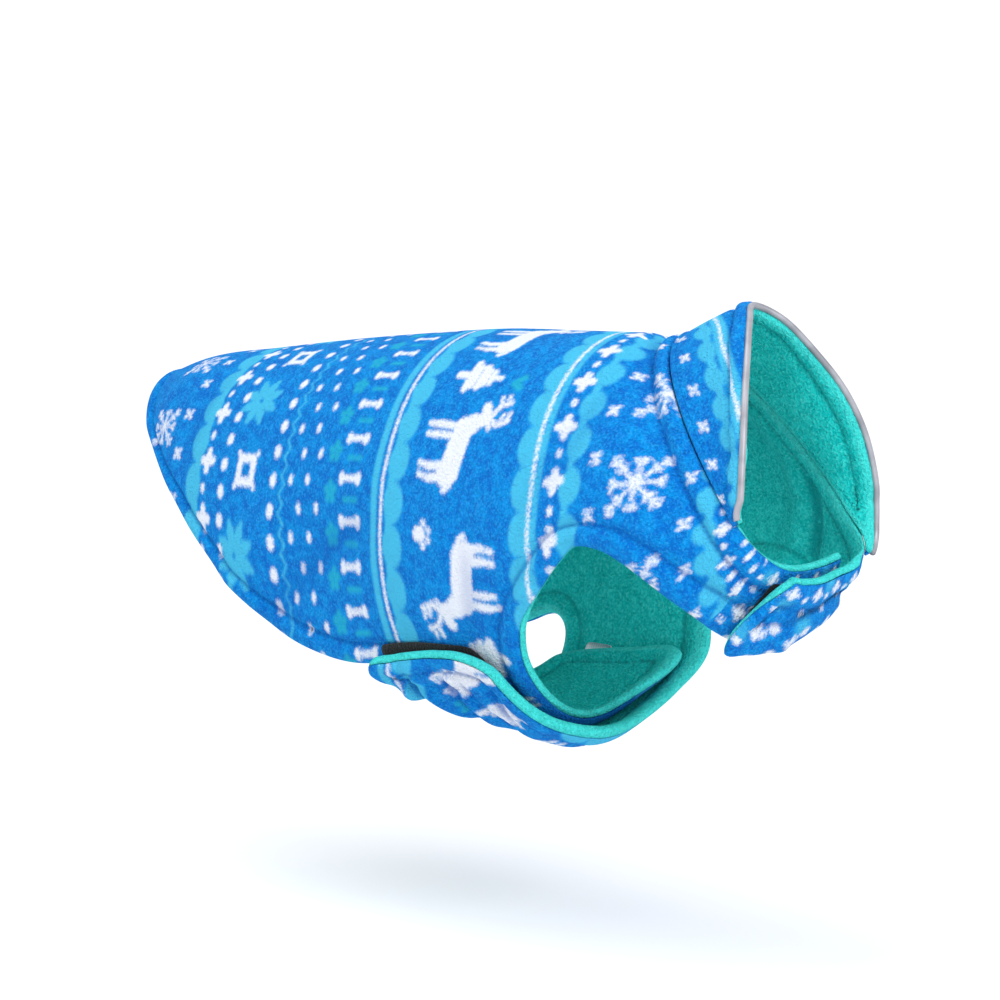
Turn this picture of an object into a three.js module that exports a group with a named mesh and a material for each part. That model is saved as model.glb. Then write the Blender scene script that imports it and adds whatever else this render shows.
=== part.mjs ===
// Dog sweater: a wrap-round double-layer fleece vest for a small dog, laid out
// as it is worn. Millimetres. +X runs toward the dog's head, +Y to the dog's
// left, +Z up. The origin is the inside of the lining at the withers, where
// the vest hangs on the dog's back.
//
// The body is one cut of cloth per layer: a back panel with two belly
// extensions and two neck extensions. The left belly extension wraps under the
// belly over the right one and ends on the right side. The left neck extension
// does the same at the throat. Everything lies on one ring surface, addressed
// by `along` (mm from the tail edge, measured on the spine) and `turn`
// (degrees round the body: 0 at the spine, negative to the dog's right, +-180
// at the belly, and beyond that where an extension wraps over the other).
import * as THREE from 'three';

// ---- driving sizes -------------------------------------------------------
const CLOTH = 2.0;            // thickness of each fleece layer
const LAYER_GAP = 0.4;        // between the outer fleece and the lining
const SEAM_GAP = 0.7;         // between pieces that are sewn edge to edge
const EDGE_ROLL = 1.2;        // the outer layer stops this far inside the lining
const TAPE = 0.8;             // thickness of a hook or loop tape
const TAPE_CLEAR = 0.6;       // tape to cloth
const TAPES_APART = 0.3;      // the neck tapes keep this much more between them
const WRAP_SIDE = 4.8;        // the outer extensions ride this far out on the side
const WRAP_OVER = 8.0;        // and this far over the tapes
const WRAP_UNDER = -2.4;      // the inner extensions tuck this far in
const LABEL = 0.8;            // thickness of the folded label
const PIPING_R = 1.4;         // corded piping on the collar edge
const PIPING_GAP = 0.55;      // piping to the collar's edge
const PIPING_SHORT = 3;       // degrees of the collar's ends left without piping
const PIPING_STEPS = 46;
const CORD_SIDES = 8;
const NECK_ALONG = 328;       // the neck seam, on the spine
const COLLAR_ROWS = 3;        // rows of facets up the collar
const MM_PER_DEG = 1.27;      // girth per degree, used to lay out the mesh
const MESH_STEP = 9.8;        // facet size of the large pieces
const RIM_STEP = 8.4;         // facet size along their edges
const BELLY_TAPE_STEP = 7;
const SMALL_STEP = 6;         // facet size of the small tapes and the label
const NEAR_NECK = 0.9;        // rim points this close to the neck seam belong to it
const CURVE_STEPS = 12;       // points between two rows of an outline, before resampling
const EDGE_CLEAR = 0.55;      // inner points keep this share of a step from the rim
const SEWN_SHARE = 0.5;       // cloth under more than this share of the collar ends at the seam
const INNER = [-LAYER_GAP / 2 - CLOTH, -LAYER_GAP / 2];
const OUTER = [LAYER_GAP / 2, LAYER_GAP / 2 + CLOTH];
const ORIGIN_LIFT = 2 * CLOTH + LAYER_GAP;   // lining's inner face at the withers is z = 0

// Cross-sections of the worn vest, measured on its outside. top and bottom are
// the ring's spine and belly points; egg > 0 widens the ring near the back; bow
// pushes the sides toward the head; skew pushes the right side further.
const SECTIONS = [
  // along  topX  topZ  botX    botZ  halfW   egg  bow skew
  [0,      -279, -26.5, -221, -165.0,  35.0,  0.20,  0, 0],
  [30,     -250, -18.0, -214, -185.0,  43.0,  0.20,  0, 0],
  [80,     -200, -12.0, -180, -194.0,  49.0,  0.18,  0, 0],
  [130,    -150,  -7.0, -142, -196.0,  52.0,  0.16,  0, 0],
  [180,    -100,  -3.0,  -97, -185.0,  55.0,  0.12,  0, 0],
  [230,     -50,   0.0,  -48, -172.0,  58.0,  0.05,  0, 0],
  [265,     -15,   0.0,    8, -170.0,  58.5,  0.02,  0, 0],
  [285,       5,   0.0,   48, -158.0,  57.0,  0.00,  4, 0],
  [300,      20,   0.0,   84, -138.0,  54.0, -0.08,  6, 1],
  [313,      33,   0.0,  103, -114.5,  48.0, -0.22,  5, 1],
  [328,      48,  -1.0,  118,  -91.5,  40.0, -0.40,  3, 1.5],
];
// How far the wrap pulls the cloth up under the belly; its front edge curls up.
const BELLY_TUCK = [
  // along, tuck
  [0, 32], [180, 32], [200, 27], [218, 17], [232, 10], [244, 6], [252, 3.5], [258, 2.5],
  [266, 7], [275, 12], [290, 4], [300, 0], [328, 0],
];
// The large soft folds of the worn cloth: ridges are positive, troughs negative.
const FOLDS = [
  // along  turn heading length width height
  [268,     -172,    90,    60,    7,  -4.2],
  [272,      178,    90,    50,    7,  -2.2],
  [318,        0,    92,    70,    5,  -1.6],
  [292,      -62,    52,    40,    8,  -1.3],
  [150,     -104,    24,    60,    9,  -1.6],
  [112,      -96,    30,    50,    8,   1.5],
  [60,       -60,    62,    40,    9,  -1.4],
  [38,       -38,    70,    34,    8,   1.0],
  [235,     -100,    78,    38,   10,   1.2],
  [246,     -112,    84,    30,    7,  -1.5],
  [175,       96,   -20,    55,   10,  -1.5],
  [120,       84,   -34,    48,    9,   1.4],
  [64,        52,   -60,    42,    9,  -1.3],
  [288,       64,   -54,    40,    9,  -1.3],
];

// Outline of the body cloth, going round once. Columns: along, turn.
const HEM_LEFT = [[0.5, 25], [3, 59], [12, 71], [25, 82], [40, 90.5], [64, 102], [86, 111],
  [110, 118.5], [140, 125]];
const BELLY_LEFT = [[165, 125], [190, 123], [207, 121.5], [216, 128], [219, 148], [220, 170],
  [221, 188], [219, 201], [214, 209], [209.5, 216], [204, 220], [196, 224], [189, 228.5],
  [189.5, 232], [194, 233.4], [206, 233.6], [220, 234.2], [233, 235], [243, 236], [251, 235.2],
  [256.5, 232.5], [258.5, 228], [260.5, 222], [263.5, 212], [266, 200], [267, 180], [267, 160],
  [270, 147], [274, 132]];
const ARMHOLE_LEFT = [[274, 117], [279, 110], [288, 107], [294, 112], [299, 122], [305, 135],
  [309, 146]];
const NECK_TAB_LEFT = [[312, 160], [311, 180], [307, 203], [305.5, 210.5], [310, 214], [322, 212],
  [327, 207]];
const NECK_EDGE = [200, 160, 120, 60, 0, -60, -120, -160, -188].map((turn) => [NECK_ALONG, turn]);
const NECK_TAB_RIGHT = [[328, -205], [327, -211], [322, -213], [316, -210], [312, -200],
  [309, -180], [307, -160]];
const ARMHOLE_RIGHT = [[306, -144], [304.5, -129], [300, -112], [294, -99.5], [288, -95.5],
  [283.5, -98.5], [277, -104.5], [271, -111], [266.5, -118]];
const BELLY_RIGHT = [[263, -130], [262, -155], [262, -180], [264, -195], [268, -210],
  [270.5, -225], [266, -229.5], [255, -229], [238, -225], [224, -220], [220, -212], [219, -195],
  [220, -175], [222, -150], [218, -137], [200, -132], [168, -130]];
const mirrored = (outline) => outline.map(([along, turn]) => [along, -turn]).reverse();
const BODY_OUTLINE = [...mirrored(HEM_LEFT), [0, 0], ...HEM_LEFT, ...BELLY_LEFT, ...ARMHOLE_LEFT,
  ...NECK_TAB_LEFT, ...NECK_EDGE, ...NECK_TAB_RIGHT, ...ARMHOLE_RIGHT, ...BELLY_RIGHT];

// Top edge of the stand-up collar on the dog's left; the right half mirrors it.
const COLLAR_HALF = [
  // turn    x     y      z
  [0,     84.0,  0.0,  12.0],
  [18,    90.8, 10.6,   6.2],
  [36,    98.6, 21.0,  -6.8],
  [53,   105.8, 30.6, -22.0],
  [70,   111.0, 37.6, -39.5],
  [86,   113.4, 41.4, -57.0],
  [104,  113.6, 41.8, -70.0],
  [118,  113.6, 38.0, -81.0],
  [130,  116.4, 32.6, -89.0],
];
const COLLAR_TOP = [...COLLAR_HALF.slice(1).map(([turn, x, y, z]) => [-turn, x, -y, z]).reverse(),
  ...COLLAR_HALF];
const COLLAR_ENDS = [-106, 130];
const COLLAR_TIP = 2.6;       // height of the collar where it runs out

// Hook and loop tapes and the label, as outlines. Columns: along, turn.
const BELLY_LOOP = [[193, -124.6], [244, -124.4], [250, -128], [254, -146], [255, -190],
  [226, -190], [225, -150], [217, -133], [193, -128.4]];
const BELLY_HOOK = [[226, 196], [246, 196], [246, 228], [205, 228], [211, 221], [218, 213]];
const NECK_LOOP = [[311, -149.5], [323.5, -149.5], [323.5, -194], [316, -194], [311, -186]];
const NECK_HOOK = [[312.5, 180], [323.5, 180], [323.5, 206], [312.5, 206]];
const SIZE_LABEL = [[231, 131.5], [242, 131.5], [242, 140.5], [231, 140.5]];

// ---- helpers --------------------------------------------------------------
const lerp = (a, b, t) => a + (b - a) * t;
const clamp = (x, low, high) => Math.min(high, Math.max(low, x));
function smooth(a, b, x) {
  const t = clamp((x - a) / (b - a), 0, 1);
  return t * t * (3 - 2 * t);
}

// Cubic Hermite between two values h apart, with their slopes, at s from 0 to 1.
function hermite(a, slopeA, b, slopeB, h, s) {
  const fromA = a * (2 * s ** 3 - 3 * s ** 2 + 1) + slopeA * h * (s ** 3 - 2 * s ** 2 + s);
  const fromB = b * (3 * s ** 2 - 2 * s ** 3) + slopeB * h * (s ** 3 - s ** 2);
  return fromA + fromB;
}

// A smooth curve through the rows of a table whose first column is the key.
function tableAt(rows, key) {
  const last = rows.length - 1;
  let i = 0;
  while (i < last - 1 && key > rows[i + 1][0]) i++;
  const rate = (k, c) => (rows[k + 1][c] - rows[k][c]) / (rows[k + 1][0] - rows[k][0]);
  const slope = (k, c) => {
    if (k === 0) return rate(0, c);
    if (k === last) return rate(last - 1, c);
    const before = rows[k][0] - rows[k - 1][0];
    const after = rows[k + 1][0] - rows[k][0];
    return (rate(k - 1, c) * after + rate(k, c) * before) / (before + after);
  };
  const h = rows[i + 1][0] - rows[i][0];
  const s = (key - rows[i][0]) / h;
  return rows[i].slice(1).map((value, k) => {
    const c = k + 1;
    return hermite(value, slope(i, c), rows[i + 1][c], slope(i + 1, c), h, s);
  });
}

// ---- body surface ------------------------------------------------------------
// A point on the sections, before any lift.
function ring(along, turn) {
  const [topX, topZ, botX, botZ, halfW, egg, bow, skew] = tableAt(SECTIONS, along);
  const angle = THREE.MathUtils.degToRad(turn);
  const c = Math.cos(angle);
  const s = Math.sin(angle);
  const halfX = (topX - botX) / 2;
  const halfZ = (topZ - botZ) / 2;
  const half = Math.hypot(halfX, halfZ);
  const reach = c + egg * s * s;
  const forward = bow * s * s - skew * s ** 3;
  const wrapped = Math.abs(THREE.MathUtils.euclideanModulo(turn + 180, 360) - 180);
  const tuck = tableAt(BELLY_TUCK, along)[0] * smooth(132, 180, wrapped);
  return new THREE.Vector3(
    (topX + botX) / 2 + halfX * reach + forward * halfZ / half,
    halfW * s,
    (topZ + botZ) / 2 + halfZ * reach - forward * halfX / half + tuck + ORIGIN_LIFT);
}

function ringNormal(along, turn) {
  const e = 0.5;
  const a = Math.min(along, NECK_ALONG - e);
  const da = ring(a + e, turn).sub(ring(a - e, turn));
  const dt = ring(a, turn + e).sub(ring(a, turn - e));
  return da.cross(dt).normalize();
}

// Where one layer of cloth wraps over or under another.
function lift(turn) {
  if (turn < 0) return WRAP_UNDER * smooth(150, 205, -turn);
  return WRAP_SIDE * smooth(98, 132, turn) + (WRAP_OVER - WRAP_SIDE) * smooth(160, 190, turn);
}

// The hollow behind the neck seam, the slack along the edges of the back, and
// the table of folds, each a blurred and slightly curved line on the flat cloth.
function folds(along, turn) {
  const wide = Math.abs(turn);
  const behindSeam = -2.2 * smooth(306, 316, along) * (1 - smooth(318, 327, along));
  const slack = 1.4 * Math.sin(along / 21 + turn / 40) * smooth(60, 95, wide);
  let height = behindSeam * (1 - smooth(80, 110, wide));
  height += slack * (1 - smooth(112, 128, wide)) * (1 - smooth(215, 240, along));
  for (const [at, foldTurn, heading, length, width, rise] of FOLDS) {
    const offset = new THREE.Vector2(along - at, (turn - foldTurn) * MM_PER_DEG);
    offset.rotateAround(new THREE.Vector2(), -THREE.MathUtils.degToRad(heading));
    const across = offset.y + 2.5 * Math.sin(offset.x / length * 1.7 + at);
    height += rise * Math.exp(-((across / width) ** 2) - (offset.x / length) ** 4);
  }
  return height;
}

// The middle of the double cloth, below the sections by half its thickness.
function bodyMiddle(along, turn) {
  const out = lift(turn) - OUTER[1] + folds(along, turn) * (1 - nearNeck(along, turn));
  return ring(along, turn).addScaledVector(ringNormal(along, turn), out);
}

// ---- collar surface ---------------------------------------------------------
const collarSpan = (turn) => smooth(COLLAR_ENDS[0] - 16, COLLAR_ENDS[0] - 2, turn)
  * (1 - smooth(COLLAR_ENDS[1] + 2, COLLAR_ENDS[1] + 16, turn));
const nearNeck = (along, turn) => smooth(NECK_ALONG - 12, NECK_ALONG, along) * collarSpan(turn);

// `rise` is 0 at the neck seam and 1 at the top edge.
function collarMiddle(rise, turn) {
  const base = bodyMiddle(NECK_ALONG, turn);
  const out = ringNormal(NECK_ALONG, turn);
  const [x, y, z] = tableAt(COLLAR_TOP, turn);
  const up = new THREE.Vector3(x, y, z + ORIGIN_LIFT).addScaledVector(out, lift(turn)).sub(base);
  const fromEnd = Math.min(turn - COLLAR_ENDS[0], COLLAR_ENDS[1] - turn);
  const low = Math.min(COLLAR_TIP / up.length(), 1);
  up.multiplyScalar(lerp(low, 1, smooth(-3, 15, fromEnd)));
  const hollow = 0.1 * smooth(20, 60, Math.abs(turn)) - 0.02;
  const sag = hollow * up.length() * Math.sin(Math.PI * rise);
  return base.addScaledVector(up, rise).addScaledVector(out, -sag);
}

function collarNormal(rise, turn) {
  const e = 0.02;
  const t = 0.5;
  const r = clamp(rise, e, 1 - e);
  const dr = collarMiddle(r + e, turn).sub(collarMiddle(r - e, turn));
  const dt = collarMiddle(r, turn + t).sub(collarMiddle(r, turn - t));
  return dr.cross(dt).normalize();
}

// The shared mitre of body and collar at the neck seam.
function seamNormal(turn) {
  return ringNormal(NECK_ALONG, turn).add(collarNormal(0, turn)).normalize();
}

// ---- where a point of the flat cloth lies, and its direction of thickness --------
function bodySurface(along, girth) {
  const turn = girth / MM_PER_DEG;
  const safe = clamp(turn, ...COLLAR_ENDS);
  const normal = ringNormal(along, turn).lerp(seamNormal(safe), nearNeck(along, turn)).normalize();
  return [bodyMiddle(along, turn), normal];
}

function collarSurface(rise, turn) {
  const height = collarMiddle(1, turn).distanceTo(collarMiddle(0, turn));
  const r = lerp(SEAM_GAP / height, 1, rise);
  const normal = seamNormal(turn).lerp(collarNormal(r, turn), smooth(0, 0.6, rise)).normalize();
  return [collarMiddle(r, turn), normal];
}

// ---- meshing ----------------------------------------------------------------
// Evenly spaced points round a loop.
function resample(loop, step) {
  const next = (i) => loop[(i + 1) % loop.length];
  const at = [0];
  loop.forEach((p, i) => at.push(at[i] + p.distanceTo(next(i))));
  const total = at[loop.length];
  const count = Math.round(total / step);
  const out = [];
  let j = 0;
  for (let k = 0; k < count; k++) {
    const want = k * total / count;
    while (at[j + 1] < want) j++;
    out.push(loop[j].clone().lerp(next(j), (want - at[j]) / (at[j + 1] - at[j])));
  }
  return out;
}

const flatPoints = (outline) => outline.map(([a, t]) => new THREE.Vector2(a, t * MM_PER_DEG));

// A closed smooth curve through an outline's points.
function smoothLoop(outline, step) {
  const flat = flatPoints(outline);
  const n = flat.length;
  const dense = [];
  for (let i = 0; i < n; i++) {
    const [p0, p1, p2, p3] = [n - 1, 0, 1, 2].map((k) => flat[(i + k) % n]);
    const reach = p1.distanceTo(p2);
    const slope1 = p2.clone().sub(p0).divideScalar(p1.distanceTo(p0) + reach);
    const slope2 = p3.clone().sub(p1).divideScalar(p3.distanceTo(p2) + reach);
    for (let k = 0; k < CURVE_STEPS; k++) {
      const s = k / CURVE_STEPS;
      const x = hermite(p1.x, slope1.x, p2.x, slope2.x, reach, s);
      const y = hermite(p1.y, slope1.y, p2.y, slope2.y, reach, s);
      dense.push(new THREE.Vector2(x, y));
    }
  }
  return resample(dense, step);
}

function inside(loop, p) {
  let hit = false;
  loop.forEach((b, i) => {
    const a = loop[(i + 1) % loop.length];
    if ((a.y > p.y) === (b.y > p.y)) return;
    if (p.x < (b.x - a.x) * (p.y - a.y) / (b.y - a.y) + a.x) hit = !hit;
  });
  return hit;
}

function edgeDistance(loop, p) {
  return Math.min(...loop.map((a, i) => {
    const d = loop[(i + 1) % loop.length].clone().sub(a);
    const t = clamp(p.clone().sub(a).dot(d) / d.lengthSq(), 0, 1);
    return a.clone().addScaledVector(d, t).distanceTo(p);
  }));
}

// Moves the loop inward by `by`.
function inset(loop, by) {
  const n = loop.length;
  const side = Math.sign(THREE.ShapeUtils.area(loop)) * by;
  return loop.map((p, i) => {
    const d = loop[(i + 1) % n].clone().sub(loop[(i + n - 1) % n]).setLength(side);
    return new THREE.Vector2(p.x - d.y, p.y + d.x);
  });
}

// The circle through three of the points, which a Delaunay cell keeps empty.
function cell(points, a, b, c) {
  const [A, B, C] = [points[a], points[b], points[c]];
  const d = 2 * (A.x * (B.y - C.y) + B.x * (C.y - A.y) + C.x * (A.y - B.y));
  const x = (A.lengthSq() * (B.y - C.y) + B.lengthSq() * (C.y - A.y) + C.lengthSq() * (A.y - B.y)) / d;
  const y = (A.lengthSq() * (C.x - B.x) + B.lengthSq() * (A.x - C.x) + C.lengthSq() * (B.x - A.x)) / d;
  return { corners: [a, b, c], x, y, radiusSq: (x - A.x) ** 2 + (y - A.y) ** 2 };
}

// The edges that only one of the triangles has, in its own direction.
function rimEdges(triangles) {
  const rim = new Map();
  for (const [a, b, c] of triangles) {
    for (const [i, j] of [[a, b], [b, c], [c, a]]) {
      if (!rim.delete(`${j},${i}`)) rim.set(`${i},${j}`, [i, j]);
    }
  }
  return [...rim.values()];
}

// Delaunay triangles of the loop's points and a staggered grid inside it.
function triangulate(loop, step) {
  const pts = loop.map((p) => p.clone());
  const box = new THREE.Box2().setFromPoints(pts);
  const rowStep = step * Math.sqrt(3) / 2;
  for (let row = 0; box.min.y + (row + 0.5) * rowStep < box.max.y; row++) {
    for (let x = box.min.x + (row % 2) * step / 2; x < box.max.x; x += step) {
      const p = new THREE.Vector2(x, box.min.y + (row + 0.5) * rowStep);
      if (inside(loop, p) && edgeDistance(loop, p) > step * EDGE_CLEAR) pts.push(p);
    }
  }
  const n = pts.length;
  const far = 4000;
  const around = [[-far, -far], [far, -far], [0, far]].map(([x, y]) => new THREE.Vector2(x, y));
  const all = [...pts, ...around];
  let cells = [cell(all, n, n + 1, n + 2)];
  for (let i = 0; i < n; i++) {
    const holds = (c) => (all[i].x - c.x) ** 2 + (all[i].y - c.y) ** 2 < c.radiusSq * (1 - 1e-12);
    const opened = cells.filter(holds).map((c) => c.corners);
    cells = cells.filter((c) => !holds(c));
    for (const [a, b] of rimEdges(opened)) cells.push(cell(all, a, b, i));
  }
  const middle = (t) => t.reduce((sum, i) => sum.add(pts[i]), new THREE.Vector2()).divideScalar(3);
  const tris = cells.map((c) => c.corners).filter((t) => Math.max(...t) < n && inside(loop, middle(t)));
  return { pts, tris };
}

function solid(vertices, faces) {
  let volume = 0;
  for (const [a, b, c] of faces) volume += vertices[a].dot(vertices[b].clone().cross(vertices[c]));
  const geometry = new THREE.BufferGeometry();
  const numbers = vertices.flatMap((v) => v.toArray());
  geometry.setAttribute('position', new THREE.Float32BufferAttribute(numbers, 3));
  geometry.setIndex(faces.flatMap(([a, b, c]) => (volume < 0 ? [a, c, b] : [a, b, c])));
  geometry.computeVertexNormals();
  return geometry;
}

// A wall of cloth between two offsets from a surface, closed round its rim.
function wall({ pts, tris }, surface, from, to) {
  const n = pts.length;
  const low = [];
  const high = [];
  for (const p of pts) {
    const [at, normal] = surface(p.x, p.y);
    low.push(at.clone().addScaledVector(normal, from));
    high.push(at.clone().addScaledVector(normal, to));
  }
  const faces = tris.flatMap(([a, b, c]) => [[a + n, b + n, c + n], [a, c, b]]);
  for (const [i, j] of rimEdges(tris)) faces.push([i, j + n, i + n], [i, j, j + n]);
  return solid([...low, ...high], faces);
}

function grid(rows, cols, at) {
  const pts = [];
  const tris = [];
  for (let r = 0; r <= rows; r++) {
    for (let c = 0; c <= cols; c++) pts.push(at(r / rows, c));
  }
  for (let r = 0; r < rows; r++) {
    for (let c = 0; c < cols; c++) {
      const i = r * (cols + 1) + c;
      const j = i + cols + 1;
      tris.push([i, i + 1, j + 1], [i, j + 1, j]);
    }
  }
  return { pts, tris };
}

const patch = (outline, step) => triangulate(resample(flatPoints(outline), step), step);

// A round cord through a list of points, closed at both ends.
function cord(points, radius, sides) {
  const vertices = [];
  const faces = [];
  const side = new THREE.Vector3(0, 0, 1);
  points.forEach((p, i) => {
    const ahead = points[Math.min(i + 1, points.length - 1)];
    const along = ahead.clone().sub(points[Math.max(i - 1, 0)]).normalize();
    side.addScaledVector(along, -side.dot(along)).normalize();
    const other = along.clone().cross(side);
    for (let k = 0; k < sides; k++) {
      const a = 2 * Math.PI * k / sides;
      const out = side.clone().multiplyScalar(Math.cos(a)).addScaledVector(other, Math.sin(a));
      vertices.push(p.clone().addScaledVector(out, radius));
    }
  });
  for (let i = 0; i < points.length - 1; i++) {
    for (let k = 0; k < sides; k++) {
      const a = i * sides + k;
      const b = i * sides + (k + 1) % sides;
      faces.push([a, b, b + sides], [a, b + sides, a + sides]);
    }
  }
  const last = (points.length - 1) * sides;
  for (let k = 1; k < sides - 1; k++) faces.push([0, k + 1, k], [last, last + k, last + k + 1]);
  return solid(vertices, faces);
}

// ---- finishes ---------------------------------------------------------------
function finish(color, roughness, metalness = 0) {
  return new THREE.MeshStandardMaterial({ color, roughness, metalness });
}
const printFleece = finish(0x0a6fd6, 0.95);
const liningFleece = finish(0x12a9a0, 0.95);
const blackTape = finish(0x0a1414, 0.9);
const reflective = finish(0x9a9aa6, 0.45, 0.2);
const labelCloth = finish(0xc8ccd0, 0.7);

const sweater = new THREE.Group();
function add(name, geometry, material) {
  const mesh = new THREE.Mesh(geometry, material);
  mesh.name = name;
  sweater.add(mesh);
}

// ---- body: the lining, and the printed fleece that stops inside its edge ----------
const atNeck = (p) => new THREE.Vector2(NECK_ALONG, p.y);
const liningLoop = smoothLoop(BODY_OUTLINE, RIM_STEP)
  .map((p) => (p.x > NECK_ALONG - NEAR_NECK ? atNeck(p) : p));
const outerLoop = inset(liningLoop, EDGE_ROLL).map((p) => {
  const sewn = p.x > NECK_ALONG - EDGE_ROLL - NEAR_NECK && collarSpan(p.y / MM_PER_DEG) > SEWN_SHARE;
  return sewn ? atNeck(p) : p;
});
const liningMesh = triangulate(liningLoop, MESH_STEP);
const outerMesh = { pts: liningMesh.pts.map((p, i) => outerLoop[i] ?? p), tris: liningMesh.tris };
add('body_lining', wall(liningMesh, bodySurface, ...INNER), liningFleece);
add('body_outer', wall(outerMesh, bodySurface, ...OUTER), printFleece);

// ---- collar: its columns stand on the body's own seam points ----------------------
const seamTurns = liningLoop.filter((p) => p.x === NECK_ALONG).map((p) => p.y / MM_PER_DEG)
  .filter((turn) => turn > COLLAR_ENDS[0] - 1 && turn < COLLAR_ENDS[1] + 1).sort((a, b) => a - b);
const onCollar = (rise, column) => new THREE.Vector2(rise, seamTurns[column]);
const collarMesh = grid(COLLAR_ROWS, seamTurns.length - 1, onCollar);
add('collar_lining', wall(collarMesh, collarSurface, ...INNER), liningFleece);
add('collar_outer', wall(collarMesh, collarSurface, ...OUTER), printFleece);

const pipingPath = [];
for (let k = 0; k <= PIPING_STEPS; k++) {
  const turn = lerp(COLLAR_ENDS[0] + PIPING_SHORT, COLLAR_ENDS[1] - PIPING_SHORT, k / PIPING_STEPS);
  const top = collarMiddle(1, turn);
  const up = top.clone().sub(collarMiddle(0.8, turn)).setLength(PIPING_R + PIPING_GAP);
  pipingPath.push(top.add(up));
}
add('collar_piping', cord(pipingPath, PIPING_R, CORD_SIDES), reflective);

// ---- tapes and label --------------------------------------------------------------
function addTape(name, outline, step, low, thickness, material) {
  add(name, wall(patch(outline, step), bodySurface, low, low + thickness), material);
}
const onCloth = OUTER[1] + TAPE_CLEAR;
const underCloth = INNER[0] - TAPE_CLEAR;
addTape('belly_loop_tape', BELLY_LOOP, BELLY_TAPE_STEP, onCloth, TAPE, blackTape);
addTape('belly_hook_tape', BELLY_HOOK, BELLY_TAPE_STEP, underCloth - TAPE, TAPE, blackTape);
addTape('neck_loop_tape', NECK_LOOP, SMALL_STEP, onCloth, TAPE, blackTape);
addTape('neck_hook_tape', NECK_HOOK, SMALL_STEP, underCloth - TAPE - TAPES_APART, TAPE, blackTape);
addTape('size_label', SIZE_LABEL, SMALL_STEP, underCloth - LABEL, LABEL, labelCloth);

export default sweater;
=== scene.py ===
"""Dog sweater: a wrap-round vest of printed fleece with a turquoise fleece lining.

Lengths in the tables are millimetres and turns are degrees. The cloth lies on one ring surface,
addressed by `along` (from the tail edge, measured on the spine) and `turn` (round the body: 0 at the
spine, negative to the dog's right, beyond +-180 where an extension wraps over the other one).
"""
import math

import bpy
import numpy as np
from mathutils import Matrix, Vector
from mathutils.geometry import delaunay_2d_cdt
from mathutils.kdtree import KDTree


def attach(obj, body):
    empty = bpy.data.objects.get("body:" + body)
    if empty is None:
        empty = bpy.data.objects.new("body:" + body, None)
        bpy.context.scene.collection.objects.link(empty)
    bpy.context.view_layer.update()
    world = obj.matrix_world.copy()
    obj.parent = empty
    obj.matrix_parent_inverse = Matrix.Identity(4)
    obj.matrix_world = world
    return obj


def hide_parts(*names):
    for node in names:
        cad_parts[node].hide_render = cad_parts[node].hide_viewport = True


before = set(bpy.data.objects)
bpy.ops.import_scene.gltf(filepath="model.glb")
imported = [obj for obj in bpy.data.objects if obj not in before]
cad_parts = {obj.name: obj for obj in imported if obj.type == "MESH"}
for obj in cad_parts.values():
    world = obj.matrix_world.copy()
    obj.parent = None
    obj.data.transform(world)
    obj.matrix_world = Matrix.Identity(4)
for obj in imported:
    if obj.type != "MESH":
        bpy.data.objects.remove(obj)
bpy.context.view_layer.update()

# ---- sizes shared with the solids ----------------------------------------------------
CLOTH = 2.0                 # each fleece layer
LAYER_GAP = 0.4             # between the printed fleece and the lining
WRAP_SIDE = 4.8             # how far out the outer extensions ride on the side
WRAP_OVER = 8.0             # and over the tapes
WRAP_UNDER = -2.4           # how far in the inner extensions tuck
TAPE = 0.8                  # thickness of a hook or loop tape
TAPE_CLEAR = 0.6            # tape to cloth
TAPES_APART = 0.3           # the neck tapes keep this much more between them
LABEL = 0.8                 # thickness of the folded label
PIPING_R = 1.4              # radius of the corded piping
PIPING_SHORT = 3            # degrees of the collar's ends left without piping
NECK_ALONG = 328.0          # the neck seam, on the spine
NEAR_NECK = 0.9             # rim points this close to the neck seam belong to it
MM_PER_DEG = 1.27           # girth a degree stands for on the flat cloth
ORIGIN_LIFT = 2 * CLOTH + LAYER_GAP     # the lining's inner face at the withers is z = 0
FACE = LAYER_GAP / 2 + CLOTH            # from the middle of the double cloth to either face
MM = 0.001

# Cross-sections of the worn sweater, measured on its outside. top and bot are the ring's spine and
# belly points; egg > 0 widens the ring near the back; bow pushes the sides toward the head; skew
# pushes the right side further.
SECTIONS = np.array([
    # along, topX, topZ, botX, botZ, halfW, egg, bow, skew
    (0, -279, -26.5, -221, -165, 35.0, 0.20, 0, 0),
    (30, -250, -18, -214, -185, 43.0, 0.20, 0, 0),
    (80, -200, -12, -180, -194, 49.0, 0.18, 0, 0),
    (130, -150, -7, -142, -196, 52.0, 0.16, 0, 0),
    (180, -100, -3, -97, -185, 55.0, 0.12, 0, 0),
    (230, -50, 0, -48, -172, 58.0, 0.05, 0, 0),
    (265, -15, 0, 8, -170, 58.5, 0.02, 0, 0),
    (285, 5, 0, 48, -158, 57.0, 0.00, 4, 0),
    (300, 20, 0, 84, -138, 54.0, -0.08, 6, 1),
    (313, 33, 0, 103, -114.5, 48.0, -0.22, 5, 1),
    (328, 48, -1, 118, -91.5, 40.0, -0.40, 3, 1.5),
], float)
# How far the wrap pulls the cloth up under the belly: (along, tuck).
BELLY_TUCK = np.array([
    (0, 32), (180, 32), (200, 27), (218, 17), (232, 10), (244, 6), (252, 3.5), (258, 2.5), (266, 7),
    (275, 12), (290, 4), (300, 0), (328, 0)], float)

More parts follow.
